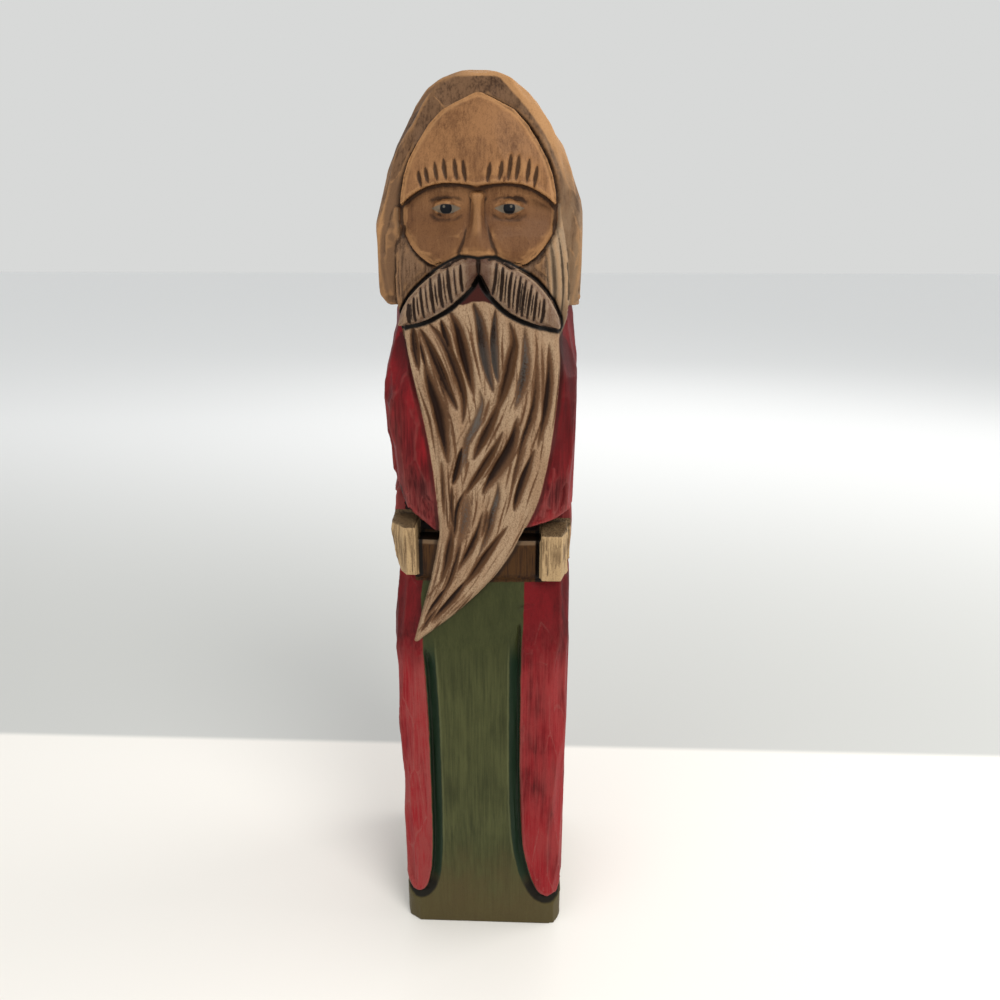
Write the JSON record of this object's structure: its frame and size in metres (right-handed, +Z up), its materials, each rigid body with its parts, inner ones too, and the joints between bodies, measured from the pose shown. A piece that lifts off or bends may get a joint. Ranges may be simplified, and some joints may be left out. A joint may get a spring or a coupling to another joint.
{
  "type": "carved santa figure",
  "caption": "Tall slim wooden santa figure, whittled from a square stick: pointed hood, long swept beard, folded arms and a long coat open over a robe; stands on its flat underside.",
  "frame": {"origin": "middle of the flat underside, on the surface that the figure stands on", "axes": "+Z up along the stick, from the underside to the hood's peak; the figure looks along -Y; +X is the viewer's right when facing it"},
  "size_m": [0.0508, 0.0508, 0.254],
  "materials": {
    "painted_basswood": "thin washes of red, green, brown and cream paint under a dark antiquing stain, satin wax"
  },
  "bodies": {
    "root": {"carved_santa": "painted_basswood"}
  },
  "joints": []
}
